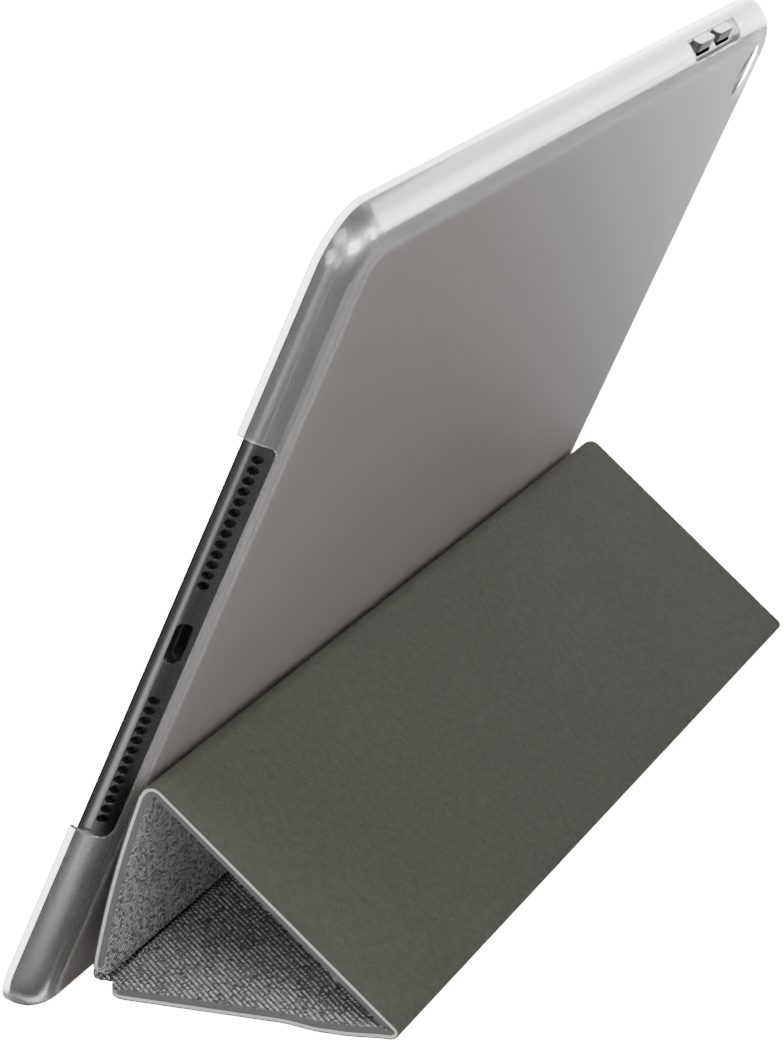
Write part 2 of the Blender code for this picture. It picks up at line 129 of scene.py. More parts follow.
FLAP = flap_frame()
SHELL_LOW, SHELL_HIGH = box_in(CASE, "clear_shell")
TABLET_LOW, TABLET_HIGH = box_in(CASE, "tablet_housing")
SHELL_SIZE = SHELL_HIGH - SHELL_LOW
TABLET_SIZE = TABLET_HIGH - TABLET_LOW
MIDDLE = SHELL_SIZE.y / 2

CORNER = 10 * MM  # of the tablet, seen from its back
SHELL_CORNER = CORNER + (SHELL_SIZE.x - TABLET_SIZE.x) / 2
# How far the back edges ease over: their rise from the back, and their reach in from the side.
TABLET_BACK_ROUND = 5.6 * MM
TABLET_EASE = 8.0 * MM
SHELL_BACK_ROUND = 7.4 * MM
SHELL_EASE = 8.2 * MM

COVER_HALF = box_in(PIECES["base"], "base_suede")[1].x
STRIP_HALF = box_in(PIECES["spine_strip"], "spine_strip_suede")[1].x
HALF_THICK = box_in(PIECES["base"], "base_fabric")[1].z
STRIP_HALF_THICK = box_in(PIECES["spine_strip"], "spine_strip_fabric")[1].z


# ---- materials ----------------------------------------------------------------------------------


class Shader:
    """A node material whose nodes are made and joined in one call each."""

    def __init__(self, name):
        self.material = bpy.data.materials.new(name)
        self.material.use_nodes = True
        self.tree = self.material.node_tree
        self.surface = self.tree.nodes["Principled BSDF"]
        self.output = self.tree.nodes["Material Output"]

    def node(self, kind, inputs=None, **settings):
        made = self.tree.nodes.new(kind)
        for key, value in settings.items():
            setattr(made, key, value)
        for key, value in (inputs or {}).items():
            self.feed(made, key, value)
        return made

    def feed(self, node, key, value):
        if isinstance(value, bpy.types.NodeSocket):
            self.tree.links.new(value, node.inputs[key])
        else:
            node.inputs[key].default_value = value

    def math(self, operation, first, second=0.0, third=0.0):
        made = self.node("ShaderNodeMath", {0: first, 1: second, 2: third}, operation=operation)
        return made.outputs[0]

    def mix(self, share, first, second):
        made = self.node("ShaderNodeMix", data_type="RGBA")
        self.feed(made, 0, share)
        self.feed(made, 6, first)
        self.feed(made, 7, second)
        return made.outputs[2]

    def noise(self, where, scale, detail=2.0, roughness=0.5):
        inputs = {"Vector": where, "Scale": scale, "Detail": detail, "Roughness": roughness}
        return self.node("ShaderNodeTexNoise", inputs).outputs["Fac"]

    def ramp(self, value, low, high, to_low=0.0, to_high=1.0):
        inputs = {"Value": value, "From Min": low, "From Max": high, "To Min": to_low, "To Max": to_high}
        return self.node("ShaderNodeMapRange", inputs).outputs["Result"]

    def bump(self, height, distance, strength=1.0):
        made = self.node("ShaderNodeBump", {"Height": height, "Distance": distance, "Strength": strength})
        self.feed(self.surface, "Normal", made.outputs["Normal"])

    def scaled(self, vector, share):
        made = self.node("ShaderNodeVectorMath", {0: vector}, operation="SCALE")
        self.feed(made, "Scale", share)
        return made.outputs[0]

    def parts(self, vector):
        return self.node("ShaderNodeSeparateXYZ", {0: vector}).outputs

    def place(self):
        """The point in the row frame at rest, carried by each mesh, so no pattern slides in a pose."""
        return self.node("ShaderNodeTexCoord").outputs["Object"]

    def cloth(self):
        """Distance across and along the cover, in millimetres."""
        made = self.node("ShaderNodeUVMap", uv_map="cloth")
        return self.scaled(made.outputs["UV"], 1 / MM)

    def set(self, **values):
        for key, value in values.items():
            self.feed(self.surface, key.replace("_", " "), value)


def grey(value):
    return (value, value, value, 1)


SUEDE_DARK = (0.038, 0.039, 0.032, 1)
SUEDE_LIGHT = (0.100, 0.100, 0.084, 1)
EDGE_DARK = (0.36, 0.385, 0.36, 1)
EDGE_LIGHT = (0.50, 0.53, 0.50, 1)
CIRCUIT_DARK = (0.01, 0.07, 0.03, 1)
CIRCUIT_LIGHT = (0.03, 0.16, 0.06, 1)


def suede_material():
    shader = Shader("olive_suede")
    cloth = shader.cloth()
    nap = shader.noise(cloth, 2.6, 3.0, 0.75)
    brushed = shader.noise(cloth, 0.5, 3.0, 0.6)
    blotch = shader.noise(cloth, 0.03, 2.0, 0.5)
    tone = shader.math("MULTIPLY_ADD", brushed, 0.22, shader.math("MULTIPLY", blotch, 0.12))
    tone = shader.math("MULTIPLY_ADD", nap, 0.66, tone)
    colour = shader.mix(shader.ramp(tone, 0.30, 0.74), SUEDE_DARK, SUEDE_LIGHT)
    shader.set(Base_Color=colour, Roughness=0.92, Sheen_Weight=0.05, Sheen_Roughness=0.5)
    shader.set(Sheen_Tint=(0.80, 0.80, 0.72, 1), Specular_IOR_Level=0.06)
    shader.bump(shader.math("MULTIPLY_ADD", brushed, 0.4, nap), 0.10 * MM, 0.6)
    return shader.material


def edge_material():
    """The pale cut edge of the cover's stiff core."""
    shader = Shader("pale_cut_edge")
    tone = shader.noise(shader.place(), 900.0, 3.0, 0.6)
    shader.set(Base_Color=shader.mix(tone, EDGE_DARK, EDGE_LIGHT), Roughness=0.62)
    shader.bump(tone, 0.05 * MM, 0.5)
    return shader.material


THREAD = 0.36  # millimetres from one thread to the next
REPEAT = 4.0  # threads in one repeat of the twill, half of them over and half under
WARP_DARK = (0.014, 0.014, 0.015, 1)
WARP_LIGHT = (0.17, 0.17, 0.17, 1)
WEFT_DARK = (0.035, 0.035, 0.037, 1)
WEFT_LIGHT = (0.72, 0.72, 0.71, 1)
CUT_TONE = 0.085
CUT_WIDTH = (0.80 * MM, 0.35 * MM)  # where the pattern starts and ends fading into the cut edge


def thread_tone(shader, number, distance, seed):
    """One thread's own tone, which drifts along its length."""
    drift = shader.math("MULTIPLY", distance, 0.16)
    where = shader.node("ShaderNodeCombineXYZ", {0: number, 1: drift, 2: seed})
    return shader.noise(where.outputs[0], 1.7, 1.0)


def thread_round(shader, distance):
    """A thread's height over its own width, from 0 at its sides to 1 on top."""
    return shader.math("SINE", shader.math("MULTIPLY", shader.math("FRACT", distance), pi))


def twill(shader):
    """The colour and the height of a twill of dark warp and pale weft threads, with painted shade towards
    each thread's sides.
    """
    split = shader.parts(shader.cloth())
    wobble = shader.noise(shader.cloth(), 1.1, 2.0)
    across = shader.math("MULTIPLY_ADD", wobble, 0.5, shader.math("DIVIDE", split[0], THREAD))
    along = shader.math("DIVIDE", split[1], THREAD)
    warp_id = shader.math("FLOOR", across)
    weft_id = shader.math("FLOOR", along)
    step = shader.math("SUBTRACT", warp_id, weft_id)
    over = shader.math("LESS_THAN", shader.math("FLOORED_MODULO", step, REPEAT), REPEAT / 2)
    warp_tone = shader.ramp(thread_tone(shader, warp_id, along, 3.0), 0.38, 0.66)
    weft_tone = shader.ramp(thread_tone(shader, weft_id, across, 41.0), 0.34, 0.62)
    warp_colour = shader.mix(warp_tone, WARP_DARK, WARP_LIGHT)
    weft_colour = shader.mix(weft_tone, WEFT_DARK, WEFT_LIGHT)
    colour = shader.mix(over, weft_colour, warp_colour)
    rounds = {0: over, 2: thread_round(shader, along), 3: thread_round(shader, across)}
    height = shader.node("ShaderNodeMix", rounds).outputs[0]
    # Painted shade: the colour falls to 45% towards each thread's sides, where its rounding turns away.
    return shader.scaled(colour, shader.ramp(height, 0.0, 0.9, 0.45, 1.0)), height


def weave_material():
    """The woven face of the cover, plain where it is rolled over at the cut edge."""
    shader = Shader("melange_twill")
    colour, height = twill(shader)
    sideways = shader.math("ABSOLUTE", shader.parts(shader.place())[0])
    at_edge = shader.ramp(sideways, COVER_HALF - CUT_WIDTH[0], COVER_HALF - CUT_WIDTH[1])
    shader.set(Base_Color=shader.mix(at_edge, colour, grey(CUT_TONE)))
    shader.set(Roughness=0.85, Sheen_Weight=0.15, Specular_IOR_Level=0.2)
    fuzz = shader.noise(shader.cloth(), 9.0, 2.0)
    relief = shader.math("MULTIPLY", height, shader.math("SUBTRACT", 1.0, at_edge))
    shader.bump(shader.math("MULTIPLY_ADD", fuzz, 0.25, relief), 0.16 * MM, 0.8)
    return shader.material


def anodised_material(name, tone, roughness):
    """Blasted and anodised aluminium: a fine sparkle in its roughness and its surface."""
    shader = Shader(name)
    grain = shader.noise(shader.place(), 9000.0, 2.0)
    cloud = shader.noise(shader.place(), 60.0, 2.0)
    colour = shader.mix(cloud, grey(tone * 0.92), grey(tone * 1.08))
    shader.set(Base_Color=colour, Metallic=1.0)
    shader.set(Roughness=shader.ramp(grain, 0.3, 0.7, roughness - 0.05, roughness + 0.06))
    shader.bump(grain, 0.01 * MM, 0.35)
    return shader.material


def glass_material():
    shader = Shader("black_glass")
    smear = shader.noise(shader.place(), 30.0, 4.0, 0.6)
    shader.set(Base_Color=(0.006, 0.006, 0.008, 1), Coat_Weight=1.0, Coat_Roughness=0.02)
    shader.set(Roughness=shader.ramp(smear, 0.4, 0.7, 0.03, 0.10))
    return shader.material


def dark_material(name, tone, roughness=0.6):
    shader = Shader(name)
    grain = shader.noise(shader.place(), 2500.0, 2.0)
    shader.set(Base_Color=shader.mix(grain, grey(tone * 0.8), grey(tone * 1.2)), Roughness=roughness)
    shader.bump(grain, 0.02 * MM, 0.4)
    return shader.material


def plated_material():
    shader = Shader("plated_metal")
    grain = shader.noise(shader.place(), 1800.0, 3.0)
    shader.set(Base_Color=grey(0.55), Metallic=1.0, Roughness=shader.ramp(grain, 0.3, 0.7, 0.22, 0.38))
    return shader.material


def circuit_material():
    shader = Shader("circuit_green")
    track = shader.noise(shader.place(), 400.0, 0.0)
    colour = shader.mix(shader.ramp(track, 0.48, 0.52), CIRCUIT_DARK, CIRCUIT_LIGHT)
    shader.set(Base_Color=colour, Roughness=0.5)
    return shader.material


# The frosting starts this far out from the back face, and is full this close to it.
FROST_DEPTH = 0.45 * MM
FROST_FULL = 0.05 * MM
FROST_BORDER = 5.6 * MM
FROST_FADE = 0.8 * MM
LENS_CUFF = 8.4 * MM
FROST_COLOUR = (0.250, 0.231, 0.216, 1)
# The paler frost tone towards the far upper corner is painted light.
FROST_PAINTED_LIGHT = (0.95, 0.94, 0.94, 1)
FROST_CLEARNESS = 0.25
FROST_ROUGHNESS = 0.38
WALL_COLOUR = (0.93, 0.935, 0.93, 1)
WALL_CLEARNESS = 0.975
WALL_ROUGHNESS = 0.16
LAMP_TINT = (0.93, 0.94, 0.93, 1)
LAMP_SHARE_FROSTED = 0.6


def along_case(shader, axis):
    """The point's distance along one of the case's axes, in metres."""
    direction = CASE.col[axis].to_3d()
    inputs = {0: shader.place(), 1: direction[:]}
    made = shader.node("ShaderNodeVectorMath", inputs, operation="DOT_PRODUCT")
    return shader.math("SUBTRACT", made.outputs["Value"], CASE.translation.dot(direction))


def frost_mask(shader):
    """1 on the shell's flat back inside its clear border, and on the wall round the rear camera."""

    def inside(distance, half):
        gap = shader.math("SUBTRACT", half, shader.math("ABSOLUTE", distance))
        return shader.ramp(gap, FROST_BORDER, FROST_BORDER + FROST_FADE)

    flat = shader.ramp(along_case(shader, 2), FROST_DEPTH - SHELL_SIZE.z, FROST_FULL - SHELL_SIZE.z)
    across = inside(along_case(shader, 0), SHELL_SIZE.x / 2)
    upward = inside(shader.math("SUBTRACT", along_case(shader, 1), MIDDLE), SHELL_SIZE.y / 2)
    back = shader.math("MULTIPLY", flat, shader.math("MULTIPLY", across, upward))
    low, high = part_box("camera_lens")
    lens = (Vector(low) + Vector(high)) / 2
    away = shader.node("ShaderNodeVectorMath", {0: shader.place(), 1: lens[:]}, operation="DISTANCE")
    cuff = shader.ramp(away.outputs["Value"], LENS_CUFF, LENS_CUFF + FROST_FADE, 1.0, 0.0)
    return shader.math("MAXIMUM", back, cuff)


def frost_colour_with_painted_light(shader):
    """Frosting with painted light, which turns it paler towards the far upper corner."""
    rise = shader.math("DIVIDE", shader.math("SUBTRACT", along_case(shader, 1), MIDDLE), SHELL_SIZE.y)
    outward = shader.math("SUBTRACT", rise, shader.math("DIVIDE", along_case(shader, 0), SHELL_SIZE.x))
    pale = shader.math("POWER", shader.ramp(outward, 0.0, 0.8), 1.9)
    return shader.mix(pale, FROST_COLOUR, FROST_PAINTED_LIGHT)


def shell_material():
    """Clear moulded plastic: polished on its walls and border, and frosted over its flat back."""
    shader = Shader("clear_moulded_plastic")
    frosted = frost_mask(shader)
    shader.set(Base_Color=shader.mix(frosted, WALL_COLOUR, frost_colour_with_painted_light(shader)), IOR=1.46)
    shader.set(Roughness=shader.ramp(frosted, 0.0, 1.0, WALL_ROUGHNESS, FROST_ROUGHNESS))
    shader.set(Transmission_Weight=shader.ramp(frosted, 0.0, 1.0, WALL_CLEARNESS, FROST_CLEARNESS))
    mottle = shader.noise(shader.place(), 2500.0, 3.0)
    shader.bump(shader.math("MULTIPLY", mottle, frosted), 0.02 * MM, 0.4)
    let_light_through(shader, frosted)
    return shader.material


def let_light_through(shader, frosted):
    """Lets lamps shine straight through the plastic, so what lies under it has soft highlights."""
    rays = shader.node("ShaderNodeLightPath")
    clear = shader.node("ShaderNodeBsdfTransparent", {"Color": LAMP_TINT})
    open_share = shader.ramp(frosted, 0.0, 1.0, 1.0, LAMP_SHARE_FROSTED)
    share = shader.math("MULTIPLY", rays.outputs["Is Shadow Ray"], open_share)
    both = shader.node("ShaderNodeMixShader", {0: share})
    shader.tree.links.new(shader.surface.outputs["BSDF"], both.inputs[1])
    shader.tree.links.new(clear.outputs["BSDF"], both.inputs[2])
    shader.tree.links.new(both.outputs["Shader"], shader.output.inputs["Surface"])


MATERIALS = {
    "suede": suede_material(),
    "edge": edge_material(),
    "weave": weave_material(),
    "metal": anodised_material("anodised_grey", 0.14, 0.28),
    "button_metal": anodised_material("anodised_button", 0.16, 0.28),
    "glass": glass_material(),
    "black": dark_material("black_plastic", 0.012),
    "plated": plated_material(),
    "circuit": circuit_material(),
    "shell": shell_material(),
}


# ---- mesh builders ------------------------------------------------------------------------------

SMOOTH_ANGLE = radians(35)


def to_object(name, builder, material, body):
    """A mesh already in the row frame, shaded smooth except at its sharp edges."""
    mesh = bpy.data.meshes.new(name)
    bmesh.ops.recalc_face_normals(builder, faces=builder.faces)
    builder.to_mesh(mesh)
    builder.free()
    mesh.shade_smooth()
    mesh.set_sharp_from_angle(angle=SMOOTH_ANGLE)
    obj = bpy.data.objects.new(name, mesh)
    bpy.context.scene.collection.objects.link(obj)
    mesh.materials.append(MATERIALS[material])
    if body:
        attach(obj, body)
    return obj


def rounded_outline(half_width, low, high, radii, steps=5):
    """A rectangle in (x, z) with its lower and upper corners rounded, counter-clockwise."""
    room = (high - low) * 0.98
    lower = min(radii[0], room / 2)
    upper = min(radii[1], room - lower)
    points = []
    near = ((1, low, lower, -pi / 2), (1, high, upper, 0))
    far = ((-1, high, upper, pi / 2), (-1, low, lower, pi))
    for side, level, radius, begin in near + far:
        inward = radius if level == low else -radius
        centre = (side * (half_width - radius), level + inward)
        for step in range(steps + 1):
            turn = begin + step * pi / 2 / steps
            points.append((centre[0] + radius * cos(turn), centre[1] + radius * sin(turn)))
    return points


class Station:
    """One cross-section of a ribbon: its middle, which way is out of the fabric, and its distance along."""

    def __init__(self, place, normal, along, low, high, half_width):
        self.place = place
        self.normal = normal
        self.along = along
        self.low = low
        self.high = high
        self.half_width = half_width


def ribbon(stations, radii):
    """A closed band through the stations, carrying its cloth distances in a UV map."""
    builder = bmesh.new()
    layer = builder.loops.layers.uv.new("cloth")
    rings, distances = [], {}
    for station in stations:
        ring = []
        for x, level in rounded_outline(station.half_width, station.low, station.high, radii):
            vertex = builder.verts.new(station.place + station.normal * level + Vector((x, 0, 0)))
            distances[vertex] = (x - (level if x > 0 else -level), station.along)
            ring.append(vertex)
        rings.append(ring)
    count = len(rings[0])
    for before, after in zip(rings, rings[1:]):
        for index in range(count):
            following = (index + 1) % count
            builder.faces.new((before[index], before[following], after[following], after[index]))
    builder.faces.new(rings[0])
    builder.faces.new(list(reversed(rings[-1])))
    for face in builder.faces:
        for loop in face.loops:
            loop[layer].uv = distances[loop.vert]
    return builder


def blended(low, high, value):
    share = min(1, max(0, (value - low) / (high - low)))
    return share * share * (3 - 2 * share)


# ---- the cover ----------------------------------------------------------------------------------

SKIN = 0.28 * MM  # of suede
CORE = 0.60 * MM  # of board, seen as the pale cut edge
CORE_TOP = -HALF_THICK + SKIN + CORE
EDGE_INSET = 0.05 * MM
OVERLAP = 0.02 * MM
# Each layer's lower and upper level, how far it stops short of the side, and its lower and upper round.
LAYERS = {
    "suede": (-HALF_THICK, -HALF_THICK + SKIN, 0.0, (0.2 * MM, 0.05 * MM)),
    "edge": (-HALF_THICK + SKIN - OVERLAP, CORE_TOP, EDGE_INSET, (0.05 * MM, 0.15 * MM)),
    "weave": (CORE_TOP - OVERLAP, HALF_THICK, 0.1 * MM, (0.02 * MM, 0.9 * MM)),
}
STRIP_ROUND = (0.05 * MM, 0.3 * MM)
THINNEST = 0.03 * MM
REPLACED = {"suede": "suede", "edge": "board", "weave": "fabric"}


def axes_of(matrix):
    return matrix.translation, matrix.col[1].to_3d(), matrix.col[2].to_3d()


def fold_angle(before, after):
    first, second = axes_of(before)[1], axes_of(after)[1]
    return atan2(first.y * second.z - first.z * second.y, first.y * second.y + first.z * second.z)


CREASE_GAP = 0.01 * MM
PRESSED_LENGTH = 1.4 * MM
CLEAR_OF_CENTRE = 0.02 * MM


class Fold:
    """Where two cover pieces meet: both run flat to a reach from the axis, and an arc joins them."""

    def __init__(self, name, before, after, outer_radius, thin=0.0):
        self.name = name
        self.before = before
        self.after = after
        self.axis = FOLDS[name]
        self.turn = fold_angle(PIECES[before], PIECES[after])
        self.outer = outer_radius
        self.middle = outer_radius - HALF_THICK
        self.reach = self.middle * tan(self.turn / 2)
        self.thin = thin
        inward = PIECES[before].col[2].to_3d()
        self.length = (self.axis - PIECES[before].translation).length
        foot = self.axis - self.reach * PIECES[before].col[1].to_3d()
        self.centre = foot + inward * self.middle

    def ceiling(self, distance, top):
        """How high a layer may rise this far from the axis, to meet its neighbour in the crease."""
        half_inside = (pi - self.turn) / 2
        crease = distance * tan(half_inside) - CREASE_GAP
        pressed = top - self.thin * (1 - blended(self.reach, self.reach + PRESSED_LENGTH, distance))
        return max(min(crease, pressed), self.lowest())

    def lowest(self):
        return min(self.middle, HALF_THICK) - CLEAR_OF_CENTRE


SHARP_FOLD = Fold("rear_fold", "base", "rear", 1.35 * MM)
OPEN_FOLD = Fold("free_fold", "rear", "free", 2.7 * MM, thin=0.5 * MM)

CORNER_RADII = {"base": (4.2 * MM, 0), "rear": (0, 0), "free": (0, 4.0 * MM)}
KINK_DROP = 0.7 * MM
KINK_DOWN = (36 * MM, 44 * MM)  # where along the base panel the kink goes down
KINK_BACK = (48 * MM, 57 * MM)  # and where it comes most of the way back
KINK_RECOVERS = 0.75
BOW_DROP = 0.9 * MM


def sag(name, along, length):
    """How far a panel stands off its flat plane: a soft kink in the base, a bow in the free panel."""
    if name == "base":
        recovered = KINK_RECOVERS * blended(*KINK_BACK, along)
        return -KINK_DROP * blended(*KINK_DOWN, along) * (1 - recovered)
    if name == "free":
        return -BOW_DROP * sin(pi * min(1, max(0, along / length)))
    return 0.0


def half_width_at(name, along, start, end):
    """The panel's half width, drawn in round its free corners."""
    first, last = CORNER_RADII[name]
    for radius, gap in ((first, along - start), (last, end - along)):
        if radius and gap < radius:
            return COVER_HALF - radius + sqrt(max(0, radius**2 - (radius - gap) ** 2))
    return COVER_HALF


PANEL_STEP = 1.5 * MM
CORNER_STEPS = 10
PINCH = 3.4 * MM
PINCH_STEPS = 12
SAME_PLACE = 0.001 * MM


def stops(start, end, corner_start, corner_end):
    """Distances along a panel, close together round its corners and where a fold pinches it."""
    marks = {start, end}
    for step in range(1, CORNER_STEPS):
        swing = step / CORNER_STEPS * pi / 2
        if corner_start:
            marks.add(start + corner_start * (1 - cos(swing)))
        if corner_end:
            marks.add(end - corner_end * (1 - cos(swing)))
    pinches = [PINCH * step / PINCH_STEPS for step in range(PINCH_STEPS + 1)]
    finer = [start + p for p in pinches] + [end - p for p in pinches]
    marks.update(mark for mark in finer if start < mark < end)
    count = int((end - start) / PANEL_STEP)
    marks.update(start + (end - start) * step / count for step in range(1, count))
    ordered = sorted(marks)
    return [m for i, m in enumerate(ordered) if i == 0 or m - ordered[i - 1] > SAME_PLACE]


# Each panel's body, and the folds at its start and its end.
PANELS = {
    "base": ("base_panel", None, SHARP_FOLD),
    "rear": ("rear_panel", SHARP_FOLD, OPEN_FOLD),
    "free": ("free_panel", OPEN_FOLD, None),
}
LENGTHS = {
    "base": SHARP_FOLD.length,
    "rear": OPEN_FOLD.length,
    "free": box_in(PIECES["free"], "free_suede")[1].y,
}
STARTS = {"base": 0.0, "rear": LENGTHS["base"], "free": LENGTHS["base"] + LENGTHS["rear"]}
BASE_START = box_in(PIECES["base"], "base_suede")[0].y


def panel_layer(name, layer):
    body, first, last = PANELS[name]
    low, high, inset, round_off = LAYERS[layer]
    start = first.reach if first else BASE_START
    end = LENGTHS[name] - (last.reach if last else 0)
    origin, along_axis, normal = axes_of(PIECES[name])
    stations = []
    for along in stops(start, end, *CORNER_RADII[name]):
        top = high
        if first:
            top = min(top, max(low + THINNEST, first.ceiling(along, high)))
        if last:
            top = min(top, max(low + THINNEST, last.ceiling(LENGTHS[name] - along, high)))
        half_width = half_width_at(name, along, start, end) - inset
        place = origin + along_axis * along + normal * sag(name, along, LENGTHS[name])
        stations.append(Station(place, normal, STARTS[name] + along, low, top, half_width))
    obj = to_object(f"{name}_{layer}_layer", ribbon(stations, round_off), layer, body)
    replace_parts(obj, f"{name}_{REPLACED[layer]}")


ARC_STEPS = 28
BEND_STEPS = 12
STRIP_STEPS = 6


def fold_layer(fold, layer):
    """The arc of one layer round a fold, drawn straight into both panels at its ends."""
    low, high, inset, round_off = LAYERS[layer]
    top = min(high, fold.ceiling(fold.reach, high))
    if top - low < 2 * THINNEST:
        return
    before = PIECES[fold.before]
    start_along = STARTS[fold.before] + fold.length - fold.reach
    end_along = STARTS[fold.after] + fold.reach
    stations = []
    for step in range(ARC_STEPS + 1):
        share = step / ARC_STEPS
        turn = Matrix.Rotation(share * fold.turn, 3, "X")
        outward = turn @ -before.col[2].to_3d()
        place = fold.centre + outward * fold.middle
        along = start_along + (end_along - start_along) * share
        stations.append(Station(place, -outward, along, low, top, COVER_HALF - inset))
    obj = to_object(f"{fold.name}_{layer}_arc", ribbon(stations, round_off), layer, None)
    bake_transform(obj)


def strip(name, body, matrix, offset):
    """One piece of the soft spine, fabric over suede, as long and as wide as its CAD solid."""
    low, high = box_in(matrix, f"{name}_suede")
    origin, along_axis, normal = axes_of(matrix)
    half = STRIP_HALF_THICK
    for layer, levels in {"suede": (-half, -half + SKIN), "weave": (-half + SKIN, half)}.items():
        stations = []
        for step in range(STRIP_STEPS + 1):
            along = low.y + (high.y - low.y) * step / STRIP_STEPS
            place = origin + along_axis * along
            stations.append(Station(place, normal, offset + along, *levels, STRIP_HALF))
        obj = to_object(f"{name}_{layer}_layer", ribbon(stations, STRIP_ROUND), layer, body)
        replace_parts(obj, f"{name}_{REPLACED[layer]}")


def soft_bend(name, before, after, reach, end_half):
    """The soft spine where it bends at a fold, as one piece between both sides."""
    axis = FOLDS[name]
    first, second = axes_of(before), axes_of(after)
    start, end = axis - first[1] * reach, axis + second[1] * reach
    stations = []
    for step in range(BEND_STEPS + 1):
        t = step / BEND_STEPS
        place = start * (1 - t) ** 2 + axis * 2 * t * (1 - t) + end * t**2
        normal = (first[2] * (1 - t) + second[2] * t).normalized()
        half = BEND_HALF_THICK * (1 - t) + end_half * t
        stations.append(Station(place, normal, t * 2 * reach, -half, half, STRIP_HALF - EDGE_INSET))
    obj = to_object(f"{name}_spine_bend", ribbon(stations, STRIP_ROUND), "weave", None)
    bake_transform(obj)


BEND_HALF_THICK = STRIP_HALF_THICK - 0.05 * MM
BASE_BEND_HALF_THICK = 0.95 * MM
# The weave's distance at the start of each spine piece, apart so that no two pieces look alike.
STRIP_OFFSET = -20 * MM
FLAP_OFFSET = -40 * MM


def build_spine():
    edge, spine, base = PIECES["edge_strip"], PIECES["spine_strip"], PIECES["base"]
    strip("edge_strip", "edge_strip", edge, STRIP_OFFSET)
    strip("spine_strip", "spine_strip", spine, STRIP_OFFSET)
    strip("flap", "case", FLAP, FLAP_OFFSET)
    soft_bend("edge_fold", FLAP, edge, 1.3 * MM, BEND_HALF_THICK)
    soft_bend("spine_fold", edge, spine, 0.9 * MM, BEND_HALF_THICK)
    soft_bend("base_fold", spine, base, 1.7 * MM, BASE_BEND_HALF_THICK)


def build_cover():
    for name in PANELS:
        for layer in LAYERS:
            panel_layer(name, layer)
    for fold in (SHARP_FOLD, OPEN_FOLD):
        for layer in LAYERS:
            fold_layer(fold, layer)
    build_spine()


build_cover()


# ---- the shell, the tablet and the small parts --------------------------------------------------


def outline(half_x, half_y, corner, inset, steps=14):
    """Points round a rounded rectangle centred on the origin, drawn in by an inset."""
    radius = corner - inset
    points = []
    for side, end, begin in ((1, -1, -pi / 2), (1, 1, 0), (-1, 1, pi / 2), (-1, -1, pi)):
        centre = (side * (half_x - corner), end * (half_y - corner))
        for step in range(steps + 1):
            turn = begin + step * pi / 2 / steps
            points.append((centre[0] + radius * cos(turn), centre[1] + radius * sin(turn)))
    return points


EASE_STEPS = 16
CUT_CLEAR = 2 * MM
BEVEL_ANGLE = radians(40)
MERGE_GAP = 0.002 * MM
FLAT_ANGLE = radians(0.5)


def eased_block(low, high, corner, reach, rise):
    """A block in the case's axes whose back edges ease over, further in than they rise."""
    half_x, half_y = (high.x - low.x) / 2, (high.y - low.y) / 2
    turns = [step / EASE_STEPS * pi / 2 for step in range(EASE_STEPS + 1)]
    profile = [(reach * (1 - sin(t)), low.z + rise * (1 - cos(t))) for t in turns]
    profile.append((0, high.z + CUT_CLEAR))
    builder = bmesh.new()
    rings = []
    for inset, level in profile:
        ring = []
        for x, y in outline(half_x, half_y, corner, inset):
            ring.append(builder.verts.new(CASE @ Vector((x, MIDDLE + y, level))))
        rings.append(ring)
    for before, after in zip(rings, rings[1:]):
        for index, vertex in enumerate(before):
            following = (index + 1) % len(before)
            builder.faces.new((vertex, before[following], after[following], after[index]))
    builder.faces.new(list(reversed(rings[0])))
    builder.faces.new(rings[-1])
    bmesh.ops.recalc_face_normals(builder, faces=builder.faces)
    return builder


def trimmed(obj, builder):
    """Keeps only what of an object lies inside another solid."""
    mesh = bpy.data.meshes.new("trimmer")
    builder.to_mesh(mesh)
    builder.free()
    trimmer = bpy.data.objects.new("trimmer", mesh)
    bpy.context.scene.collection.objects.link(trimmer)
    modifier = obj.modifiers.new("trim", "BOOLEAN")
    modifier.operation = "INTERSECT"
    modifier.solver = "EXACT"
    modifier.object = trimmer
    graph = bpy.context.evaluated_depsgraph_get()
    result = bpy.data.meshes.new_from_object(obj.evaluated_get(graph))
    obj.modifiers.clear()
    obj.data = result
    bpy.data.objects.remove(trimmer)
    result.shade_smooth()
    result.set_sharp_from_angle(angle=SMOOTH_ANGLE)


def smooth_copy(name, node, material, body, bevel=0.0, trimmer=None):
    """A CAD solid as a smooth piece, its sharp edges broken by a small bevel."""
    builder = bmesh.new()
    builder.from_mesh(NODES[node].data)
    bmesh.ops.remove_doubles(builder, verts=builder.verts, dist=MERGE_GAP)
    bmesh.ops.dissolve_limit(builder, angle_limit=FLAT_ANGLE, verts=builder.verts, edges=builder.edges)
    obj = to_object(name, builder, material, body)
    if trimmer:
        trimmed(obj, trimmer)
    if bevel:
        modifier = obj.modifiers.new("broken_edges", "BEVEL")
        modifier.width = bevel
        modifier.segments = 2
        modifier.limit_method = "ANGLE"
        modifier.angle_limit = BEVEL_ANGLE
        modifier.harden_normals = True
    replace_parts(obj, node)


def build_case():
    outer = eased_block(SHELL_LOW, SHELL_HIGH, SHELL_CORNER, SHELL_EASE, SHELL_BACK_ROUND)
    smooth_copy("moulded_shell", "clear_shell", "shell", "case", 0.16 * MM, outer)
    inner = eased_block(TABLET_LOW, TABLET_HIGH, CORNER, TABLET_EASE, TABLET_BACK_ROUND)
    smooth_copy("tablet_body", "tablet_housing", "metal", "case", 0.06 * MM, inner)
    smooth_copy("cover_glass", "display_glass", "glass", "case", 0.1 * MM)
    keys = {"power": "power_key", "volume_up": "volume_up_key", "volume_down": "volume_down_key"}
    for key, body in keys.items():
        smooth_copy(f"{key}_cap", f"{key}_button", "button_metal", body, 0.15 * MM)
    smooth_copy("home_cap", "home_button", "glass", "home_key", 0.12 * MM)


NODE_MATERIALS = {"camera_lens": "glass", "logic_board": "circuit"}


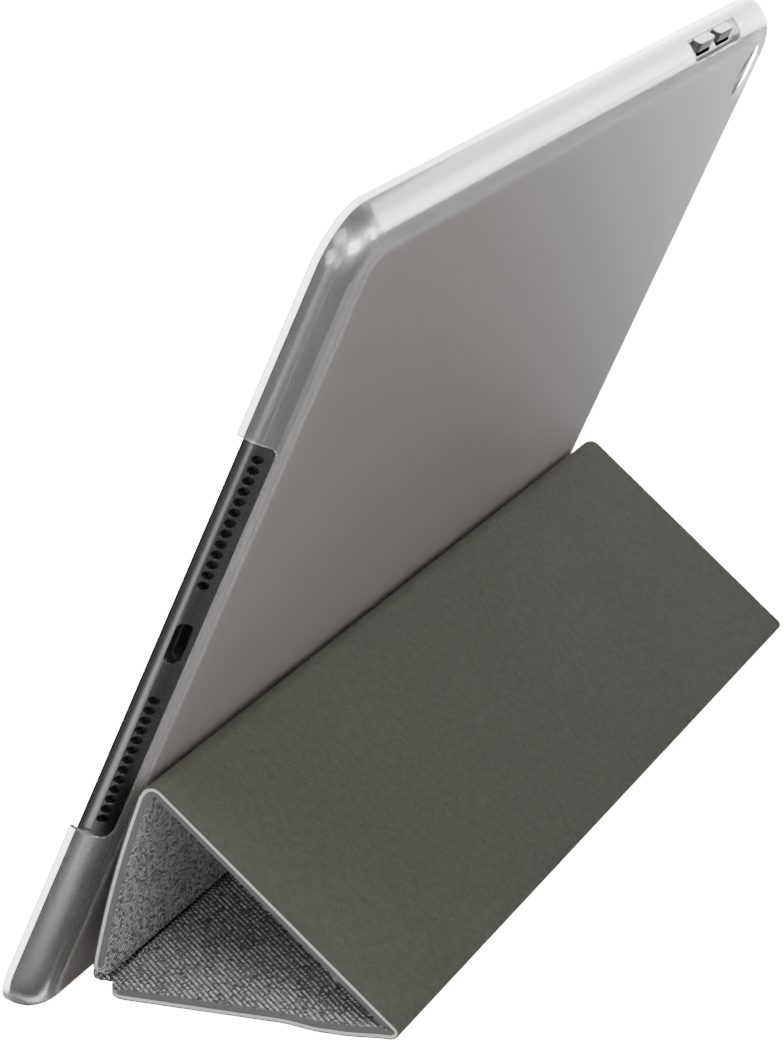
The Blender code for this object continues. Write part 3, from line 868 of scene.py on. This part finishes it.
def dress_nodes():
    """Gives each CAD solid that still shows, or lies inside, its material."""
    replaced = {node for obj in bpy.data.objects for node in obj.get("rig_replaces", [])}
    for name, node in NODES.items():
        if name in replaced:
            continue
        material = NODE_MATERIALS.get(name, "plated" if "magnet" in name else "black")
        node.data.materials.clear()
        node.data.materials.append(MATERIALS[material])


build_case()
dress_nodes()


# ---- camera, light and floor --------------------------------------------------------------------

AZIMUTH = radians(114.134)
ELEVATION = radians(14.439)
ROLL = radians(-7.445)
DISTANCE = 753.8 * MM
TARGET = Vector((-1.228, -9.108, 60.542)) * MM
LENS = 126.267


def build_camera():
    data = bpy.data.cameras.new("camera")
    data.lens = LENS
    data.clip_start = 0.01
    camera = bpy.data.objects.new("camera", data)
    bpy.context.scene.collection.objects.link(camera)
    away = Vector((sin(AZIMUTH) * cos(ELEVATION), -cos(AZIMUTH) * cos(ELEVATION), sin(ELEVATION)))
    right = Vector((0, 0, 1)).cross(away).normalized()
    up = away.cross(right)
    rolled_right = right * cos(ROLL) + up * sin(ROLL)
    rolled_up = up * cos(ROLL) - right * sin(ROLL)
    turned = Matrix((rolled_right, rolled_up, away)).transposed().to_4x4()
    camera.matrix_world = Matrix.Translation(TARGET + away * DISTANCE) @ turned
    bpy.context.scene.camera = camera


STAND_MIDDLE = Vector((0, -0.02, 0.06))


def area_light(name, place, size, power, colour=(1, 1, 1), aim=STAND_MIDDLE, turn=0.0):
    data = bpy.data.lights.new(name, "AREA")
    data.shape = "RECTANGLE"
    data.size, data.size_y = size
    data.energy = power
    data.color = colour
    light = bpy.data.objects.new(name, data)
    bpy.context.scene.collection.objects.link(light)
    facing = (Vector(aim) - Vector(place)).to_track_quat("-Z", "Y").to_matrix().to_4x4()
    light.matrix_world = Matrix.Translation(place) @ facing @ Matrix.Rotation(turn, 4, "Z")
    light.visible_camera = False
    return light


def card(name, place, size, radiance, **extra):
    """A glowing card that shows in shiny surfaces and lights nothing else."""
    light = area_light(name, place, size, radiance * pi * size[0] * size[1], **extra)
    light.visible_diffuse = False
    return light


WARM = (1.0, 0.96, 0.91)
COOL = (0.95, 0.98, 1.0)
FILL = 0.30


def build_light():
    world = bpy.data.worlds.new("studio")
    world.use_nodes = True
    world.node_tree.nodes["Background"].inputs["Color"].default_value = (1, 1, 1, 1)
    world.node_tree.nodes["Background"].inputs["Strength"].default_value = FILL
    bpy.context.scene.world = world
    area_light("key", (0.75, 0.60, 0.78), (0.5, 0.5), 7)
    area_light("side", (0.95, 0.30, 0.16), (0.25, 0.5), 5.5)
    area_light("top", (0.35, -0.25, 1.0), (0.9, 0.9), 6)
    card("far_card", (-1.0, 0.30, 0.30), (0.9, 0.7), 10.0, colour=WARM)
    card("warm_card", (-0.42, 0.95, 0.18), (0.25, 0.30), 45.0, colour=WARM)
    card("cool_card", (0.34, 0.95, 0.17), (0.45, 0.32), 50.0, colour=COOL)


SWEEP_HALF_SIZE = 30.0
SEEN_GLOW = 17.0  # what burns the floor out to white in the picture
GLOW_THROUGH_PLASTIC = 5.0
PAPER = 0.85
PAPER_IN_REFLECTIONS = 0.15
# A bright band on the floor beside the near side, which only shows in shiny surfaces.
BAND_GLOW = 4.0
BAND_SLOPE = 0.43
BAND_OFFSET = 0.09
BAND_HALF_WIDTH = 0.032
BAND_START = (0.12, 0.18)


def reflected_band(shader):
    place = shader.parts(shader.place())
    forward, sideways = place[0], place[1]
    drift = shader.math("MULTIPLY_ADD", forward, -BAND_SLOPE, shader.math("ADD", sideways, BAND_OFFSET))
    band = shader.ramp(shader.math("ABSOLUTE", drift), 0.0, BAND_HALF_WIDTH, 1.0, 0.0)
    return shader.math("MULTIPLY", band, shader.ramp(forward, *BAND_START))


def floor_material():
    """A pale floor. Seen straight on it is burnt out to white, as a lit studio sweep is."""
    shader = Shader("studio_floor")
    rays = shader.node("ShaderNodeLightPath").outputs
    seen = shader.math("MULTIPLY", rays["Is Camera Ray"], SEEN_GLOW)
    bounced = shader.math("ADD", rays["Glossy Depth"], rays["Diffuse Depth"])
    direct = shader.math("LESS_THAN", bounced, 0.5)
    through = shader.math("MULTIPLY", rays["Is Transmission Ray"], direct)
    through = shader.math("MULTIPLY", through, GLOW_THROUGH_PLASTIC)
    band = shader.math("MULTIPLY", rays["Is Glossy Ray"], reflected_band(shader))
    band = shader.math("MULTIPLY", band, BAND_GLOW)
    paper = shader.mix(rays["Is Glossy Ray"], grey(PAPER), grey(PAPER_IN_REFLECTIONS))
    shader.set(Base_Color=paper, Roughness=0.8, Emission_Color=(1, 1, 1, 1))
    shader.set(Emission_Strength=shader.math("ADD", band, shader.math("ADD", seen, through)))
    return shader.material


def build_floor():
    builder = bmesh.new()
    bmesh.ops.create_grid(builder, x_segments=1, y_segments=1, size=SWEEP_HALF_SIZE)
    mesh = bpy.data.meshes.new("floor")
    builder.to_mesh(mesh)
    builder.free()
    floor = bpy.data.objects.new("floor", mesh)
    bpy.context.scene.collection.objects.link(floor)
    mesh.materials.append(floor_material())


build_camera()
build_light()
build_floor()
